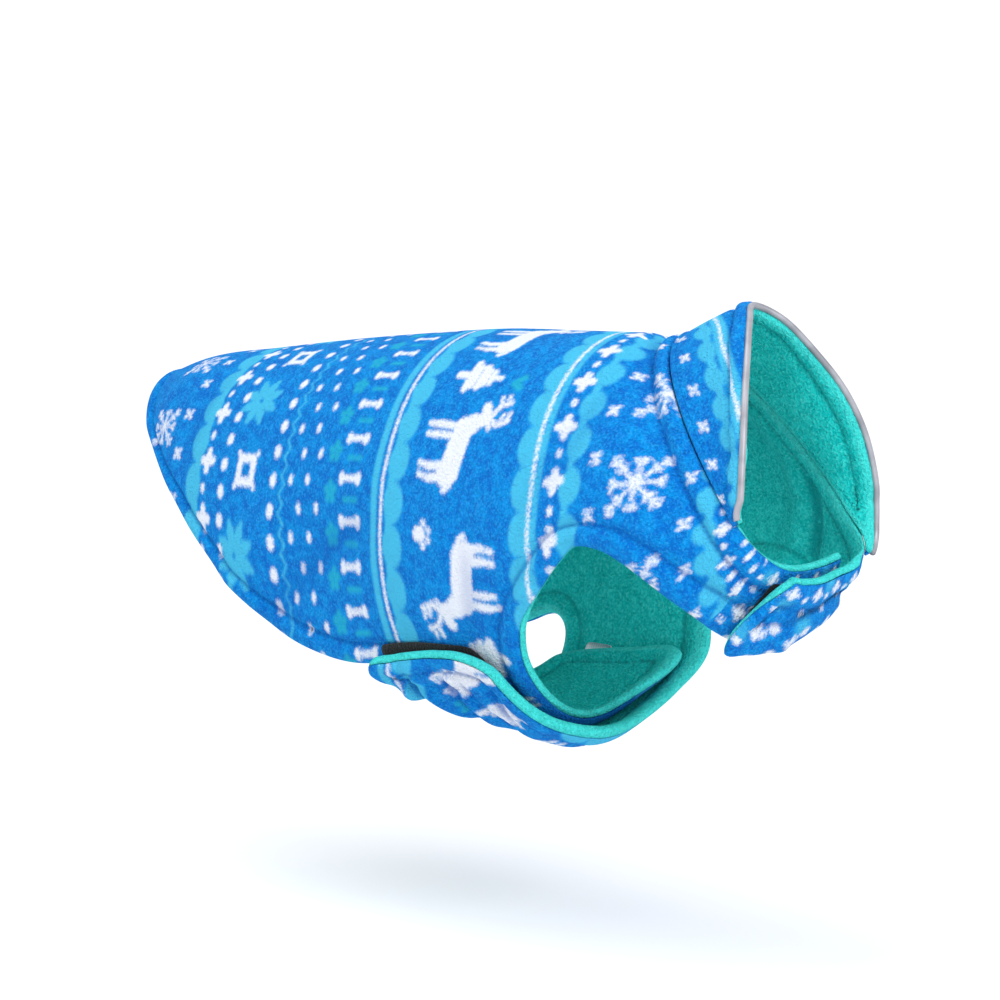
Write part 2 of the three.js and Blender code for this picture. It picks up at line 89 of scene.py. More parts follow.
# Outline of the body cloth, going round once: (along, turn).
HEM = [
    (140, 125), (110, 118.5), (86, 111), (64, 102), (40, 90.5), (25, 82), (12, 71), (3, 59), (0.5, 25)]
BELLY_LEFT = [
    (165, 125), (190, 123), (207, 121.5), (216, 128), (219, 148), (220, 170), (221, 188), (219, 201),
    (214, 209), (209.5, 216), (204, 220), (196, 224), (189, 228.5), (189.5, 232), (194, 233.4),
    (206, 233.6), (220, 234.2), (233, 235), (243, 236), (251, 235.2), (256.5, 232.5), (258.5, 228),
    (260.5, 222), (263.5, 212), (266, 200), (267, 180), (267, 160), (270, 147), (274, 132)]
ARMHOLE_LEFT = [
    (274, 117), (279, 110), (288, 107), (294, 112), (299, 122), (305, 135), (309, 146)]
NECK_TAB_LEFT = [
    (312, 160), (311, 180), (307, 203), (305.5, 210.5), (310, 214), (322, 212), (327, 207)]
NECK_EDGE = [(328, turn) for turn in (200, 160, 120, 60, 0, -60, -120, -160, -188)]
NECK_TAB_RIGHT = [
    (328, -205), (327, -211), (322, -213), (316, -210), (312, -200), (309, -180), (307, -160)]
ARMHOLE_RIGHT = [
    (306, -144), (304.5, -129), (300, -112), (294, -99.5), (288, -95.5), (283.5, -98.5),
    (277, -104.5), (271, -111), (266.5, -118)]
BELLY_RIGHT = [
    (263, -130), (262, -155), (262, -180), (264, -195), (268, -210), (270.5, -225), (266, -229.5),
    (255, -229), (238, -225), (224, -220), (220, -212), (219, -195), (220, -175), (222, -150),
    (218, -137), (200, -132), (168, -130)]
BODY_OUTLINE = (
    [(along, -turn) for along, turn in HEM] + [(0, 0)] + HEM[::-1] + BELLY_LEFT + ARMHOLE_LEFT
    + NECK_TAB_LEFT + NECK_EDGE + NECK_TAB_RIGHT + ARMHOLE_RIGHT + BELLY_RIGHT)

COLLAR_HALF = [
    # turn, x, y, z of the collar's top edge; the right half mirrors these
    (0, 84.0, 0.0, 12.0),
    (18, 90.8, 10.6, 6.2),
    (36, 98.6, 21.0, -6.8),
    (53, 105.8, 30.6, -22.0),
    (70, 111.0, 37.6, -39.5),
    (86, 113.4, 41.4, -57.0),
    (104, 113.6, 41.8, -70.0),
    (118, 113.6, 38.0, -81.0),
    (130, 116.4, 32.6, -89.0),
]
COLLAR_TOP = np.array([(-turn, x, -y, z) for turn, x, y, z in COLLAR_HALF[:0:-1]] + COLLAR_HALF)
COLLAR_ENDS = (-106.0, 130.0)
COLLAR_TIP = 2.6            # height of the collar where it runs out

# Outlines of the tapes and the label: (along, turn).
BELLY_LOOP = [
    (193, -124.6), (244, -124.4), (250, -128), (254, -146), (255, -190), (226, -190), (225, -150),
    (217, -133), (193, -128.4)]
BELLY_HOOK = [(226, 196), (246, 196), (246, 228), (205, 228), (211, 221), (218, 213)]
NECK_LOOP = [(311, -149.5), (323.5, -149.5), (323.5, -194), (316, -194), (311, -186)]
NECK_HOOK = [(312.5, 180), (323.5, 180), (323.5, 206), (312.5, 206)]
SIZE_LABEL = [(231, 131.5), (242, 131.5), (242, 140.5), (231, 140.5)]

# ---- how the sewn cloth lies ---------------------------------------------------------
EDGE_R = 3.1                # radius of a turned edge, which is about 6 mm thick
SEAM_R = 1.2                # where body and collar meet
COLLAR_R = 1.9              # along the piping
COLLAR_END_R = 0.4          # where the collar runs out into the neck seam
COLLAR_FOOT = 0.4           # the collar starts this far above the neck seam
COLLAR_TRIM = 0.2           # and stops this far below its top edge
PIPING_SET = 0.5            # the cord sits this far above the collar's top edge
STITCH_IN = 8.0             # topstitching inside an edge
STITCH_PITCH = 3.2
STITCH_DEPTH = 1.7
STITCH_WIDTH = 1.5
EDGE_PUFF = 0.9             # cloth swells between the edge and the topstitching,
PUFF_AT = 4.2               # most at this distance from the edge
PUFF_WIDTH = 2.4
LAYERS_PART = 3             # degrees each layer's edge stops short of the other's
HIDDEN_FACE = 0.6 * LAYER_GAP   # a layer's hidden face to the middle of the double cloth
FAR_IN = 20.0               # edge distance that stands for anywhere without stitching
SKIP_STITCH = 12            # added to the edge distance where an edge has no topstitching

# ---- mesh sizes ----------------------------------------------------------------------
TRACE_STEP = 0.5            # points along an edge, to measure distances from it
HIDDEN_STEP = 7.0           # hidden faces are coarse
INNER_CLEAR = 0.6           # inner points keep this share of a step from the edge
CURVE_STEPS = 12            # points between two rows of an outline, before resampling
TURNED_RINGS = 5            # rows of faces round a turned edge
TAPE_RIM_STEP, TAPE_STEP = 1.5, 2.2
TAPE_BULGE = 0.25           # a tape's edge stands out this far in its middle
PIPING_STEPS, PIPING_SIDES = 260, 18

# Soft creases: the long ones are the solids' folds, the short ones gather the belly
# extension's tip, the throat's strap and the shoulder.
CREASES = [
    # along, turn, heading, length, width, height: ridges are positive, troughs negative
    (214, 229, 2, 34, 3.6, 2.0),
    (213, 222.5, 4, 30, 2.6, -1.6),
    (207, 219, -72, 15, 3.6, 2.0),
    (215, 216, -73, 17, 2.8, -3.6),
    (223, 214, -76, 18, 3.8, 2.4),
    (232, 214, -80, 20, 2.8, -3.6),
    (237.5, 213, -82, 19, 2.4, 1.6),
    (243, 213, -83, 19, 2.4, -3.2),
    (248, 213, -84, 18, 2.4, 1.6),
    (252.5, 214, -85, 15, 2.2, -2.6),
    (268, -172, 90, 60, 7.0, -4.2),
    (272, 178, 90, 50, 7.0, -2.2),
    (318, 0, 92, 70, 5.0, -1.6),
    (292, -62, 52, 40, 8.0, -1.3),
    (150, -104, 24, 60, 9.0, -1.6),
    (112, -96, 30, 50, 8.0, 1.5),
    (60, -60, 62, 40, 9.0, -1.4),
    (38, -38, 70, 34, 8.0, 1.0),
    (235, -100, 78, 38, 10.0, 1.2),
    (246, -112, 84, 30, 7.0, -1.5),
    (175, 96, -20, 55, 10.0, -1.5),
    (120, 84, -34, 48, 9.0, 1.4),
    (64, 52, -60, 42, 9.0, -1.3),
    (288, 64, -54, 40, 9.0, -1.3),
    (316, 178, 84, 26, 4.0, 1.4),
    (314, 190, 60, 18, 3.6, 1.8),
    (320, 196, 70, 16, 3.4, -0.6),
    (236, 150, 84, 26, 5.0, 1.0),
    (310, 98, 108, 30, 3.2, 3.4),
    (304, 94, 108, 28, 4.0, -2.0),
]
COLLAR_CREASES = [
    # height above the seam, turn, heading, length, width, height
    (20, 78, 8, 34, 8.0, -1.5),
    (16, 100, 14, 26, 7.0, 0.8),
    (22, -34, 12, 26, 9.0, 1.2),
    (18, -74, -10, 24, 7.0, -1.2),
    (24, 12, 6, 26, 9.0, -1.0),
]


def smooth(low, high, x):
    t = np.clip((x - low) / (high - low), 0, 1)
    return t * t * (3 - 2 * t)


def table_at(rows, key):
    """Cubic Hermite through the rows of a table whose first column is the key."""
    x, y = rows[:, 0], rows[:, 1:]
    step = np.diff(x)[:, None]
    rate = np.diff(y, axis=0) / step
    inner = (rate[:-1] * step[1:] + rate[1:] * step[:-1]) / (step[1:] + step[:-1])
    slope = np.vstack([rate[:1], inner, rate[-1:]])
    i = np.clip(np.searchsorted(x, key, side="left") - 1, 0, len(x) - 2)
    h = step[i]
    s = (np.asarray(key)[:, None] - x[i][:, None]) / h
    return (y[i] * (2 * s**3 - 3 * s**2 + 1) + slope[i] * h * (s**3 - 2 * s**2 + s)
            + y[i + 1] * (3 * s**2 - 2 * s**3) + slope[i + 1] * h * (s**3 - s**2))


def unit(v):
    return v / np.linalg.norm(v, axis=-1, keepdims=True)


def ring(along, turn):
    """A point on the body's sections, before any lift."""
    top_x, top_z, bot_x, bot_z, half_w, egg, bow, skew = table_at(SECTIONS, along).T
    c, s = np.cos(np.radians(turn)), np.sin(np.radians(turn))
    half_x, half_z = (top_x - bot_x) / 2, (top_z - bot_z) / 2
    half = np.hypot(half_x, half_z)
    reach = c + egg * s * s
    forward = bow * s * s - skew * s**3
    wrapped = np.abs((turn + 180) % 360 - 180)
    tuck = table_at(BELLY_TUCK, along)[:, 0] * smooth(132, 180, wrapped)
    return np.stack([
        (top_x + bot_x) / 2 + half_x * reach + forward * half_z / half,
        half_w * s,
        (top_z + bot_z) / 2 + half_z * reach - forward * half_x / half + tuck + ORIGIN_LIFT], -1)


def ring_normal(along, turn):
    a = np.minimum(along, NECK_ALONG - 0.5)
    da = ring(a + 0.5, turn) - ring(a - 0.5, turn)
    dt = ring(a, turn + 0.5) - ring(a, turn - 0.5)
    return unit(np.cross(da, dt))


def lift(turn):
    """Where one layer of cloth wraps over or under another."""
    over = WRAP_SIDE * smooth(98, 132, turn) + (WRAP_OVER - WRAP_SIDE) * smooth(160, 190, turn)
    return np.where(turn > 0, over, WRAP_UNDER * smooth(150, 205, -turn))


def folds(along, turn):
    """The hollow behind the neck seam, and the slack along the edges of the back."""
    wide = np.abs(turn)
    behind_seam = -2.2 * smooth(306, 316, along) * (1 - smooth(318, 327, along))
    slack = 1.4 * np.sin(along / 21 + turn / 40) * smooth(60, 95, wide)
    return (behind_seam * (1 - smooth(80, 110, wide))
            + slack * (1 - smooth(112, 128, wide)) * (1 - smooth(215, 240, along)))


def creases(rows, place, girth):
    """Soft ridges and troughs, each a blurred line on the flat cloth."""
    total = np.zeros(len(place))
    for at, turn, heading, length, width, height in rows:
        dx, dy = place - at, girth - turn * MM_PER_DEG
        c, s = math.cos(math.radians(heading)), math.sin(math.radians(heading))
        line, across = dx * c + dy * s, dy * c - dx * s
        across = across + 2.5 * np.sin(line / length * 1.7 + at)
        total += height * np.exp(-(across / width) ** 2 - (line / length) ** 4)
    return total


def body_middle(along, turn):
    """The middle of the cloth; the sections give the outside of the printed layer."""
    out = lift(turn) + folds(along, turn) - FACE
    return ring(along, turn) + ring_normal(along, turn) * out[:, None]


def collar_middle(rise, turn):
    """The middle of the collar's cloth; rise is 0 at the neck seam and 1 at the top edge."""
    neck = np.full_like(turn, NECK_ALONG)
    base, out = body_middle(neck, turn), ring_normal(neck, turn)
    from_end = np.minimum(turn - COLLAR_ENDS[0], COLLAR_ENDS[1] - turn)
    up = table_at(COLLAR_TOP, turn) + (0, 0, ORIGIN_LIFT) + out * lift(turn)[:, None] - base
    tall = np.linalg.norm(up, axis=1)
    low = np.minimum(COLLAR_TIP / tall, 1)
    up = up * (low + (1 - low) * smooth(-3, 15, from_end))[:, None]
    hollow = 0.10 * smooth(20, 60, np.abs(turn)) - 0.02
    sag = hollow * np.linalg.norm(up, axis=1) * np.sin(np.pi * rise)
    return base + up * rise[:, None] - out * sag[:, None]


def collar_normal(rise, turn):
    r = np.clip(rise, 0.02, 0.98)
    dr = collar_middle(r + 0.02, turn) - collar_middle(r - 0.02, turn)
    dt = collar_middle(r, turn + 0.5) - collar_middle(r, turn - 0.5)
    return unit(np.cross(dr, dt))


def seam_normal(turn):
    """The shared mitre of body and collar at the neck seam."""
    neck = np.full_like(turn, NECK_ALONG)
    return unit(ring_normal(neck, turn) + collar_normal(np.zeros_like(turn), turn))


def collar_span(turn):
    """1 where the collar stands on the neck seam, fading to 0 past its ends."""
    return (smooth(COLLAR_ENDS[0] - 16, COLLAR_ENDS[0] - 2, turn)
            * (1 - smooth(COLLAR_ENDS[1] + 2, COLLAR_ENDS[1] + 16, turn)))


def blend_to(normal, other, share):
    """One direction turned toward another by a share."""
    return unit(normal * (1 - share[:, None]) + other * share[:, None])


def on_body(flat, height):
    """Puts points of the flat cloth (along, girth) on the dressed body, `height` out from its middle.
    """
    along, turn = flat[:, 0], flat[:, 1] / MM_PER_DEG
    near_seam = smooth(NECK_ALONG - 12, NECK_ALONG, along) * collar_span(turn)
    safe = np.clip(turn, COLLAR_ENDS[0], COLLAR_ENDS[1])
    normal = blend_to(ring_normal(along, turn), seam_normal(safe), near_seam)
    out = height + creases(CREASES, along, flat[:, 1]) * (1 - near_seam)
    return body_middle(along, turn) + normal * out[:, None]


COLLAR_TURNS = np.linspace(COLLAR_ENDS[0], COLLAR_ENDS[1], 240)
COLLAR_HEIGHTS = np.linalg.norm(
    collar_middle(np.ones(240), COLLAR_TURNS) - collar_middle(np.zeros(240), COLLAR_TURNS), axis=1)


def on_collar(flat, height):
    """The same for the collar, whose flat cloth is (height above the seam, girth)."""
    turn = flat[:, 1] / MM_PER_DEG
    rise = flat[:, 0] / np.interp(turn, COLLAR_TURNS, COLLAR_HEIGHTS)
    normal = blend_to(seam_normal(turn), collar_normal(rise, turn), smooth(0, 0.6, rise))
    out = height + creases(COLLAR_CREASES, flat[:, 0], flat[:, 1]) * smooth(0, 8, flat[:, 0])
    return collar_middle(rise, turn) + normal * out[:, None]


# ---- outlines and meshes -------------------------------------------------------------
def resample(loop, step):
    """Evenly spaced points round a loop."""
    ends = np.vstack([loop, loop[:1]])
    reach = np.concatenate([[0], np.cumsum(np.linalg.norm(np.diff(ends, axis=0), axis=1))])
    count = round(reach[-1] / step)
    want = np.arange(count) * reach[-1] / count
    return np.stack([np.interp(want, reach, ends[:, k]) for k in range(2)], -1)


def smooth_loop(outline, step):
    """A closed smooth curve through an outline's (place, turn) points."""
    p1 = np.array(outline, float) * (1, MM_PER_DEG)
    p0, p2, p3 = np.roll(p1, 1, 0), np.roll(p1, -1, 0), np.roll(p1, -2, 0)
    span = [np.linalg.norm(b - a, axis=1)[:, None] for a, b in ((p0, p1), (p1, p2), (p2, p3))]
    m1 = (p2 - p0) * span[1] / (span[0] + span[1])
    m2 = (p3 - p1) * span[1] / (span[1] + span[2])
    s = (np.arange(CURVE_STEPS) / CURVE_STEPS)[None, :, None]
    p1, p2, m1, m2 = (a[:, None, :] for a in (p1, p2, m1, m2))
    dense = (p1 * (2 * s**3 - 3 * s**2 + 1) + m1 * (s**3 - 2 * s**2 + s)
             + p2 * (3 * s**2 - 2 * s**3) + m2 * (s**3 - s**2))
    return resample(dense.reshape(-1, 2), step)


def eased(loop, passes):
    """The loop with its tight corners rounded off a little."""
    for _ in range(passes):
        loop = (np.roll(loop, 1, 0) + 2 * loop + np.roll(loop, -1, 0)) / 4
    return loop


def inward(loop):
    """Unit directions from each point of a loop into its inside."""
    d = unit(np.roll(loop, -1, 0) - np.roll(loop, 1, 0))
    turned = np.sum(loop[:, 0] * np.roll(loop[:, 1], -1) - np.roll(loop[:, 0], -1) * loop[:, 1])
    return np.stack([-d[:, 1], d[:, 0]], -1) * np.sign(turned)


def edge_finder(loop):
    """A search tree of the loop's points, closely spaced, to measure distance from the edge."""
    fine = resample(loop, TRACE_STEP)
    tree = KDTree(len(fine))
    for i, (x, y) in enumerate(fine):
        tree.insert((x, y, 0), i)
    tree.balance()
    return tree


def from_edge(tree, flat):
    """Distance from the edge, and where along the edge, for each point of the flat cloth."""
    found = [tree.find((x, y, 0)) for x, y in flat]
    return np.array([f[2] for f in found]), np.array([f[1] for f in found]) * TRACE_STEP


def filled(loop, step):
    """Points and triangles that fill a loop on a staggered grid; the loop's own points come first."""
    tree = edge_finder(loop)
    inner = []
    row_step = step * math.sqrt(3) / 2
    ends = np.roll(loop, -1, 0)
    low, high = loop[:, 1].min(), loop[:, 1].max()
    for row, y in enumerate(np.arange(low + row_step / 2, high, row_step)):
        cut = (loop[:, 1] > y) != (ends[:, 1] > y)
        a, b = loop[cut], ends[cut]
        crossings = np.sort(a[:, 0] + (b[:, 0] - a[:, 0]) * (y - a[:, 1]) / (b[:, 1] - a[:, 1]))
        shift = step / 2 if row % 2 else 0.0
        for start, stop in zip(crossings[::2], crossings[1::2]):
            first = math.ceil((start - shift) / step)
            xs = np.arange(first, math.floor((stop - shift) / step) + 1) * step + shift
            inner.append(np.stack([xs, np.full(len(xs), y)], -1))
    inner = np.vstack(inner)
    inner = inner[from_edge(tree, inner)[0] > step * INNER_CLEAR]
    points = np.vstack([loop, inner])
    corners = [Vector(p) for p in points.tolist()]
    made = delaunay_2d_cdt(corners, [], [list(range(len(loop)))], 1, 1e-5)
    origin = np.array([o[0] for o in made[3]])
    return points, origin[np.array([f for f in made[2] if len(f) == 3])]


def mesh_piece(name, points, faces, material, fields=None):
    """A smooth-shaded object from millimetre points, with vector fields the material reads."""
    mesh = bpy.data.meshes.new(name)
    mesh.from_pydata((points * MM).tolist(), [], faces)
    mesh.validate()
    mesh.polygons.foreach_set("use_smooth", np.ones(len(mesh.polygons), bool))
    for field, values in (fields or {}).items():
        mesh.attributes.new(field, "FLOAT_VECTOR", "POINT").data.foreach_set(
            "vector", np.ascontiguousarray(values, np.float32).ravel())
    mesh.materials.append(material)
    piece = bpy.data.objects.new(name, mesh)
    bpy.context.scene.collection.objects.link(piece)
    # The sign of the volume, from every seventh face.
    if sum(points[f[0]] @ np.cross(points[f[1]], points[f[2]]) for f in faces[::7]) < 0:
        mesh.flip_normals()
    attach(piece, "root")
    return piece


def cloth_height(edge):
    """How far a face stands off the cloth's middle: swollen at the edge, pinched by the stitching."""
    puff = EDGE_PUFF * np.exp(-((edge - PUFF_AT) / PUFF_WIDTH) ** 2)
    pinch = STITCH_DEPTH * np.exp(-((edge - STITCH_IN) / STITCH_WIDTH) ** 2)
    return FACE + puff - pinch


def layer(name, loop, roll, seam_angle, side, put_on, rows, step, print_at, material):
    """One fleece layer as a thin closed shell: a fine visible face, an edge that rolls over a half
    round of radius `roll` to the seam angle, and a coarse hidden face. `side` is 1 for the print and
    -1 for the lining, and `rows` are the creases, which get painted shade where they fold inward."""
    n = len(loop)
    rim = eased(loop + inward(loop) * roll[:, None], 4)
    face, face_tris = filled(rim, step)
    back, back_tris = filled(rim, HIDDEN_STEP)
    edge, place = from_edge(edge_finder(loop), face)
    edge[:n] = roll
    if put_on is on_collar:
        # The collar's topstitching follows its top edge only.
        height = np.interp(face[:, 1] / MM_PER_DEG, COLLAR_TURNS, COLLAR_HEIGHTS)
        edge = edge + SKIP_STITCH * smooth(0, 3, height - face[:, 0] - edge) * smooth(3, 6, edge)
    flats, heights = [face], [cloth_height(edge) * side]
    sewn = [np.stack([edge, place, np.zeros(len(edge))], -1)]
    faces = face_tris.tolist()
    last, total = np.arange(n), len(face)

    def join(current):
        return np.stack([last, np.roll(last, -1), np.roll(current, -1), current], -1).tolist()

    for k in range(1, TURNED_RINGS + 1):
        angle = 90 + (side * (seam_angle + side * LAYERS_PART) - 90) * k / TURNED_RINGS
        inset = roll * (1 - np.cos(np.radians(angle)))
        flats.append(loop + inward(loop) * inset[:, None])
        heights.append(heights[0][:n] * np.sin(np.radians(angle)))
        sewn.append(np.stack([np.zeros(n), place[:n], np.full(n, k / TURNED_RINGS)], -1))
        current = np.arange(n) + total
        faces += join(current)
        last, total = current, total + n
    flats.append(back)
    heights.append(np.full(len(back), side * HIDDEN_FACE))
    sewn.append(np.stack([np.full(len(back), FAR_IN), np.zeros(len(back)), np.zeros(len(back))], -1))
    faces += join(np.arange(n) + total)
    faces += (back_tris[:, ::-1] + total).tolist()
    flat = np.vstack(flats)
    points = put_on(flat, np.concatenate(heights))
    # The creases' depth, which the material turns into painted shade where a fold goes inward.
    folded_in = creases(rows, flat[:, 0], flat[:, 1]) * side
    fields = {"sewn": np.vstack(sewn), "fold_shade": np.stack([folded_in, folded_in, folded_in], -1)}
    if print_at:
        fields["ink"] = print_at(flat, points)
    return mesh_piece(name, points, faces, material, fields)


# ---- the print -----------------------------------------------------------------------
# Each motif is a few thick strokes: (x0, y0, x1, y1, radius), with y up the motif.
def petals(count, start, stop, radius, turned=0.0):
    """Strokes that stand round a ring, from one distance from its middle to another."""
    rows = []
    for k in range(count):
        a = math.radians(turned + 360 * k / count)
        c, s = math.cos(a), math.sin(a)
        rows.append((start * c, start * s, stop * c, stop * s, radius))
    return rows


def snowflake(size):
    """Four long barbed arms, four short ones between them and a round middle."""
    rows = [(0, 0, 0.1, 0, 0.11 * size)]
    for k in range(8):
        a = math.radians(45 * k)
        long = size if k % 2 else 0.68 * size
        rows.append((0, 0, long * math.cos(a), long * math.sin(a), 0.045 * size))
        for at, reach in ((0.46, 0.2), (0.74, 0.22))[k % 2 == 0:]:
            x, y = at * long * math.cos(a), at * long * math.sin(a)
            for b in (a - 0.7, a + 0.7):
                dx, dy = reach * size * math.cos(b), reach * size * math.sin(b)
                rows.append((x, y, x + dx, y + dy, 0.04 * size))
    return rows


DEER = [
    (-8, 19.5, 8, 21.5, 5.4), (-10, 17, -9, 20, 4.6), (8, 22, 11, 26, 4.2), (11, 26, 13.5, 32, 3.2),
    (13.5, 33, 18.5, 30.5, 2.3), (12, 34, 9.5, 35.5, 1.0), (-14, 21, -16, 18, 1.2),
    (9, 17, 9, 6, 1.5), (9, 6, 9, 1, 1.1), (5, 17, 4.5, 6, 1.3), (4.5, 6, 4.5, 1.5, 1.0),
    (-7, 15, -8, 7, 1.6), (-8, 7, -7, 1, 1.1), (-11.5, 16, -12.5, 8, 1.5),
    (-12.5, 8, -11.5, 1.5, 1.0), (13, 35, 11, 39, 1.1), (11, 39, 13, 45, 1.0),
    (11.2, 40, 15.5, 41.5, 0.9), (12.5, 43.5, 16.5, 45, 0.9), (15, 35, 19.5, 38, 1.1),
    (19.5, 38, 21, 43.5, 1.0), (19.5, 38, 23.5, 37, 0.9), (20.5, 41, 24, 41, 0.9)]
TREE = [
    (0, 1, 0, 5, 2.0), (-7.2, 8, 7.2, 8, 1.8), (-5, 10.5, 5, 10.5, 2.0), (-5.4, 14.5, 5.4, 14.5, 1.8),
    (-3.2, 17, 3.2, 17, 2.0), (-3.0, 20.5, 3.0, 20.5, 1.5), (0, 21, 0, 26, 1.3)]
PAW = [(0, -1, 0, 1, 2.7), (-4.2, 2, -4, 3, 1.1), (-1.8, 5.4, -1.6, 6, 1.1), (1.8, 5.4, 1.6, 6, 1.1),
       (4.2, 2, 4, 3, 1.1)]
HEART = [(0, -3, -2.6, 1.2, 1.7), (0, -3, 2.6, 1.2, 1.7)]
CROSS = [(-3.8, 0, 3.8, 0, 1.7), (0, -3.8, 0, 3.8, 1.7), (0, 0, 0.1, 0, 3.0)]
SMALL_CROSS = [(-2.5, 0, 2.5, 0, 1.2), (0, -2.5, 0, 2.5, 1.2)]
DOT = [(-0.4, 0, 0.4, 0, 2.1)]
SMALL_DOT = [(-0.5, 0, 0.5, 0, 1.35)]
TILE = [(-4.6, -4.6, -4.6, 4.6, 1.7), (4.6, -4.6, 4.6, 4.6, 1.7), (-4.6, -4.6, 4.6, -4.6, 1.7),
        (-4.6, 4.6, 4.6, 4.6, 1.7), (-6.6, -6.6, -6.4, -6.4, 1.1), (6.6, -6.6, 6.4, -6.4, 1.1),
        (-6.6, 6.6, -6.4, 6.4, 1.1), (6.6, 6.6, 6.4, 6.4, 1.1)]
SPOOL = [(0, -5.2, 0, 5.2, 1.1), (-0.6, -5.6, 0.6, -5.6, 1.7), (-0.6, 5.6, 0.6, 5.6, 1.7)]
DASH = [(0, -4, 0, 4, 0.9)]
FLOWER = petals(5, 1.9, 3.0, 1.5)
STAR = petals(8, 3.8, 8.4, 2.6, 22.5) + petals(8, 8.4, 11.6, 1.3, 22.5)
MOTIFS = {
    "deer": DEER, "tree": TREE, "paw": PAW, "heart": HEART, "cross": CROSS, "dot": DOT,
    "small cross": SMALL_CROSS, "small dot": SMALL_DOT, "tile": TILE, "spool": SPOOL, "dash": DASH,
    "flower": FLOWER, "star": STAR, "flake": snowflake(15.5), "small flake": snowflake(12.5),
    "speck": petals(4, 0.8, 2.6, 0.8, 45)}
WHITE, CYAN, TEAL = 0, 1, 2     # columns of the ink field
NO_INK = 9.0                    # a distance well outside any motif

BANDS = [
    # motif, ink, place along the back, first girth, repeat
    ("small flake", WHITE, -240, -33, 46),
    ("speck", WHITE, -223, -12, 20),
    ("cross", WHITE, -196, -26, 22.6),
    ("small dot", WHITE, -197, -14.7, 22.6),
    ("dot", WHITE, -183, -20, 10.7),
    ("star", CYAN, -171, -65, 62.5),
    ("tile", WHITE, -167, -34, 62.5),
    ("dot", WHITE, -147, -23, 11),
    ("small dot", WHITE, -134, -18, 20.4),
    ("small dot", WHITE, -128, -8, 20.4),
    ("small dot", WHITE, -122, -18, 20.4),
    ("small dot", WHITE, -116, -8, 20.4),
    ("flower", TEAL, -106, -28, 15.2),
    ("spool", WHITE, -93, -21, 15.6),
    ("dash", TEAL, -92, -28.8, 15.6),
    ("cross", WHITE, 26, -31.5, 21.6),
    ("small dot", WHITE, 26, -20.7, 21.6),
    ("flake", WHITE, 66, -58, 43),
    ("speck", WHITE, 46, -46, 21.7),
    ("speck", WHITE, 88, -58, 21.7),
    ("small cross", WHITE, 104, -92, 20),
    ("small dot", WHITE, 104, -102, 20),
    ("small dot", WHITE, 112, -97, 10),
    ("small cross", WHITE, 119, -92, 20),
    ("small dot", WHITE, 119, -82, 20),
]
SCALLOPS = [
    # straight edge, direction of the bumps, stripe width, bump reach, repeat, first girth
    (-201, -1, 5.0, 6.5, 18.0, -14),
    (-77.6, 1, 3.8, 0.0, 15.5, 0),
    (-67.4, 1, 4.4, 6.0, 15.5, -14),
    (14, -1, 3.0, 6.5, 16.0, -18),
    (19, -1, 2.6, 0.0, 16.0, 0),
    (32, 1, 3.0, 5.5, 17.0, -14),
    (100, -1, 3.2, 5.0, 16.0, -18),
]
WHITE_LINES, LINE_HALF = (-70.8, 14.6), 0.75
ZIGZAG, ZIG_REPEAT, ZIG_TALL, ZIG_HALF = -140.0, 7.0, 1.6, 0.6
BAND_REACH, SCALLOP_REACH, PROCESSION_REACH = 18, 22, 56    # a motif stays this near its row
PROCESSION = [
    # motif, ink, place of its foot, girth, +1 when it stands toward the head
    ("deer", WHITE, -51, -21, 1),
    ("tree", WHITE, -47, -51, 1),
    ("heart", TEAL, -9, -53, 1),
    ("deer", WHITE, -51, -84, 1),
    ("paw", WHITE, -46, -117, 1),
    ("deer", WHITE, -3, -131, -1),
    ("tree", WHITE, -6, -161, -1),
    ("heart", TEAL, -44, -163, -1),
    ("deer", WHITE, -3, -193, -1),
]
PROCESSION_REPEAT = 216.0
THROAT_MOTIFS = [
    # motif, distance from the neck seam, first girth; each repeats every THROAT_REPEAT
    ("small cross", 7, 0), ("small dot", 9, 8), ("small dot", 17, 4), ("dot", 26, 12),
    ("small cross", 30, 2), ("small dot", 37, 7), ("small dot", 42, 14),
]
THROAT_REPEAT = 16
THROAT_DRAWN_OUT = 2            # the straps are longer and narrower than the flat cloth says
THROAT_DRAWN_IN = 0.68
# A band leans by a share that depends on the girth, times a reach that grows toward the tail.
LEAN_GIRTHS = (0, 20, 60, 100, 140, 170, 300)
LEANS = (-1, -0.75, 0, 0.6, 0.75, 0.6, 0.6)
LEAN_PLACES = (-240, -200, -140, -98, -70, 15, 60)
LEAN_REACHES = (11, 10, 8, 7, 5, 1.5, 0)
THROAT_TURN, THROAT_ALONG = 138, 296    # where the bands end and the throat's print starts
COLLAR_FALL, COLLAR_LEVEL = 0.26, 78    # the collar's stripe falls toward the spine, from this girth


def strokes_field(strokes, x, y):
    """Signed distance to a motif's strokes, negative inside."""
    best = np.full(len(x), 99.0)
    for x0, y0, x1, y1, radius in strokes:
        dx, dy = x1 - x0, y1 - y0
        t = np.clip(((x - x0) * dx + (y - y0) * dy) / (dx * dx + dy * dy), 0, 1)
        best = np.minimum(best, np.hypot(x - x0 - t * dx, y - y0 - t * dy) - radius)
    return best


def folded(girth, first, repeat):
    """Distance round the cloth from the nearest copy of a motif."""
    return (girth - first + repeat / 2) % repeat - repeat / 2


